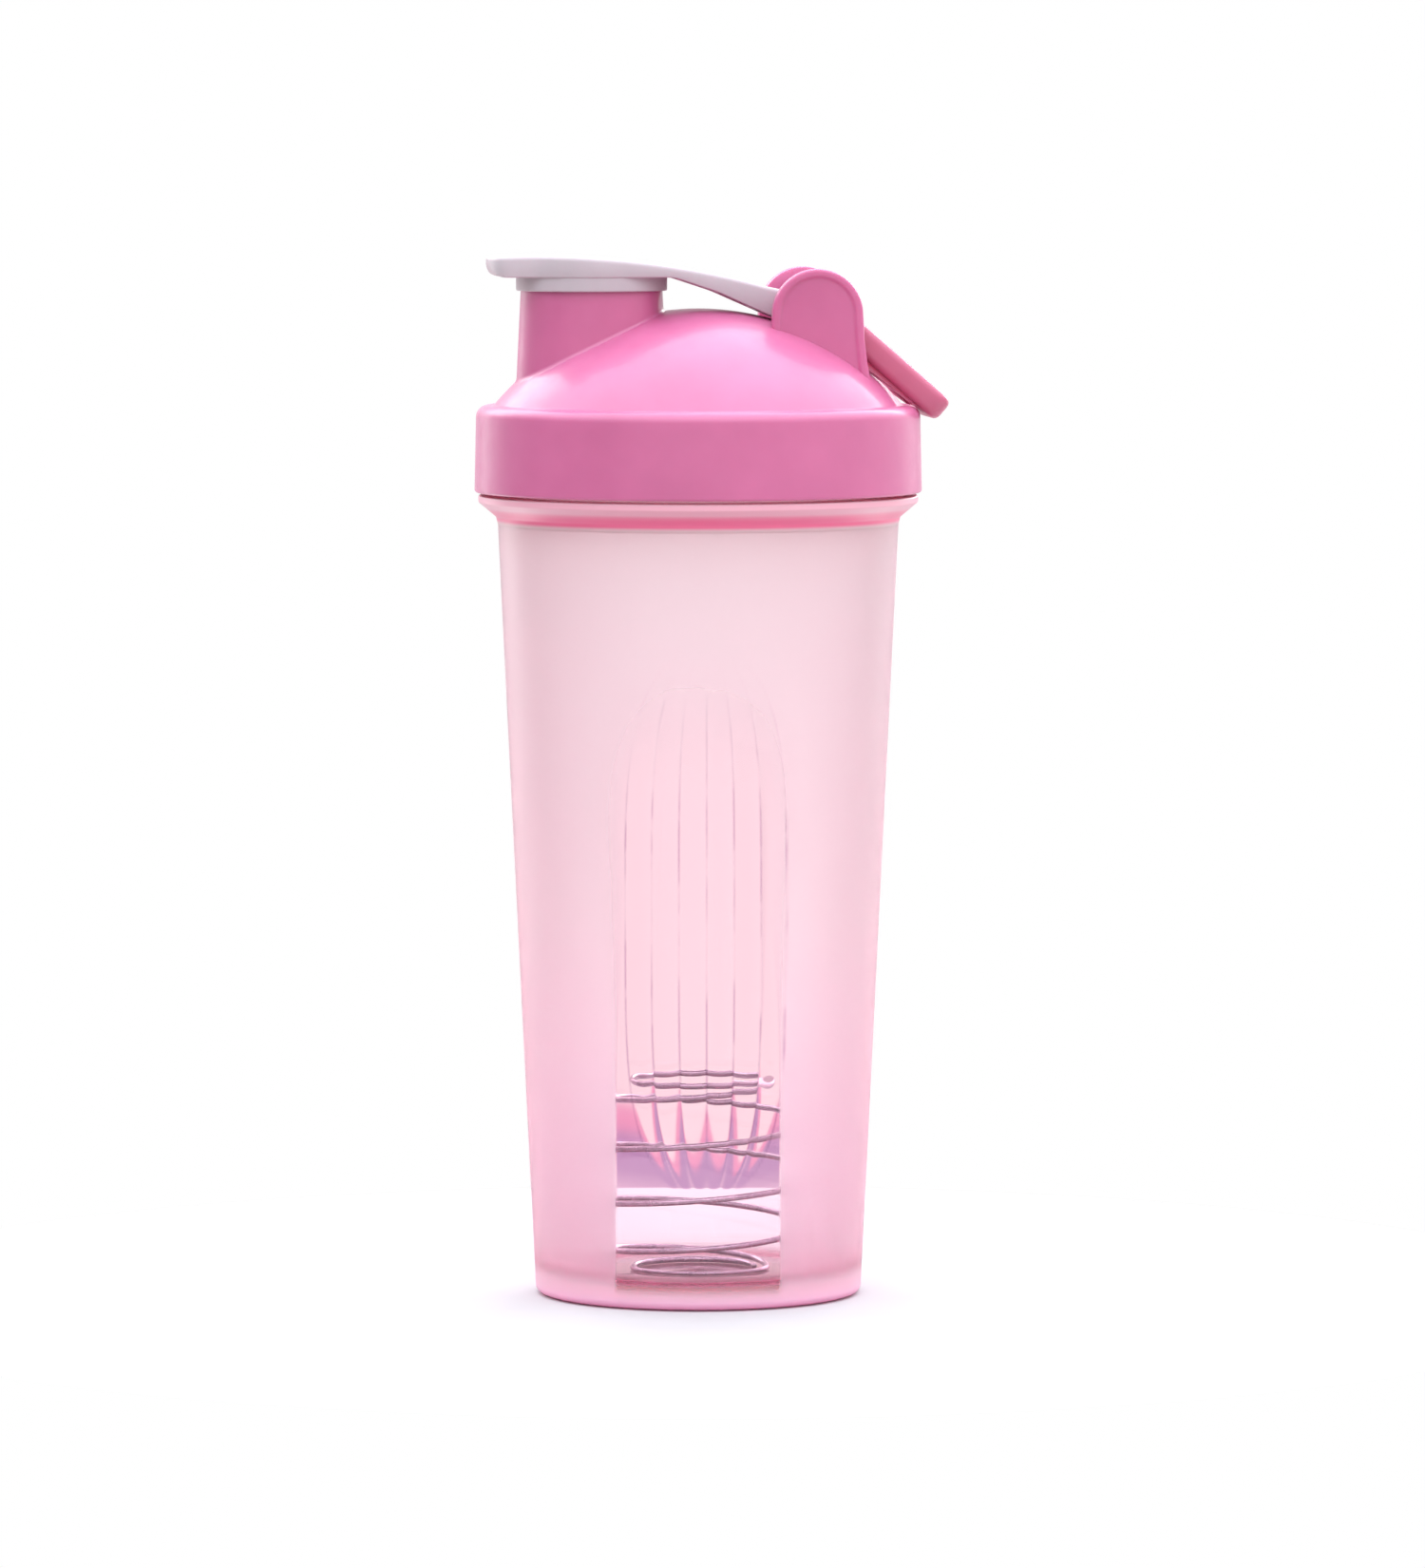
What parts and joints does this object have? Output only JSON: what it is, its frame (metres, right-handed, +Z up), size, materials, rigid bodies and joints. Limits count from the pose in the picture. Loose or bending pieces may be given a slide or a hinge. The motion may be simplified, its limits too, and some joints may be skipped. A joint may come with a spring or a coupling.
{
  "type": "protein shaker bottle",
  "caption": "Translucent shaker bottle with a screw lid, flip cap over a drinking spout, carry loop and a loose wire whisk ball for mixing drinks.",
  "frame": {"origin": "centre of the foot ring's flat underside, on the bottle's axis", "axes": "+Z up along the bottle's axis, -X towards the spout, +X towards the hinge and the carry loop"},
  "size_m": [0.0988, 0.0938, 0.218],
  "materials": {
    "cup_plastic": "frosted translucent pink with a clear window",
    "lid_plastic": "satin moulded",
    "cap_plastic": "satin moulded",
    "loop_plastic": "satin moulded",
    "seal_silicone": "matt silicone",
    "pin_steel": "drawn",
    "whisk_wire": "polished stainless wire"
  },
  "bodies": {
    "cup": {"bottle_cup": "cup_plastic"},
    "gasket": {"lid_gasket": "seal_silicone"},
    "lid": {"screw_lid": "lid_plastic", "hinge_pin": "pin_steel"},
    "cap": {"flip_cap": "cap_plastic", "spout_seal": "seal_silicone"},
    "loop": {"carry_loop": "loop_plastic"},
    "whisk": {"whisk_ball": "whisk_wire"}
  },
  "joints": [
    {"name": "lid_rise", "type": "slide", "parent": "cup", "child": "gasket", "axis": [0, 0, 1], "range_m": [0, 0.0062]},
    {"name": "lid_turn", "type": "hinge", "parent": "gasket", "child": "lid", "pos_m": [0, 0, 0.1752], "axis": [0, 0, 1], "range_deg": [0, 440]},
    {"name": "cap_flip", "type": "hinge", "parent": "lid", "child": "cap", "pos_m": [0.0236, 0, 0.2058], "axis": [0, 1, 0], "range_deg": [0, 150]},
    {"name": "loop_swing", "type": "hinge", "parent": "lid", "child": "loop", "pos_m": [0.0236, 0, 0.2058], "axis": [0, -1, 0], "range_deg": [0, 130]},
    {"name": "whisk_travel", "type": "slide", "parent": "cup", "child": "whisk", "axis": [0, 0, 1], "range_m": [0, 0.145]}
  ],
  "couplings": [
    {"joint": "lid_rise", "follows": "lid_turn", "m_per_rad": 0.00079577}
  ]
}
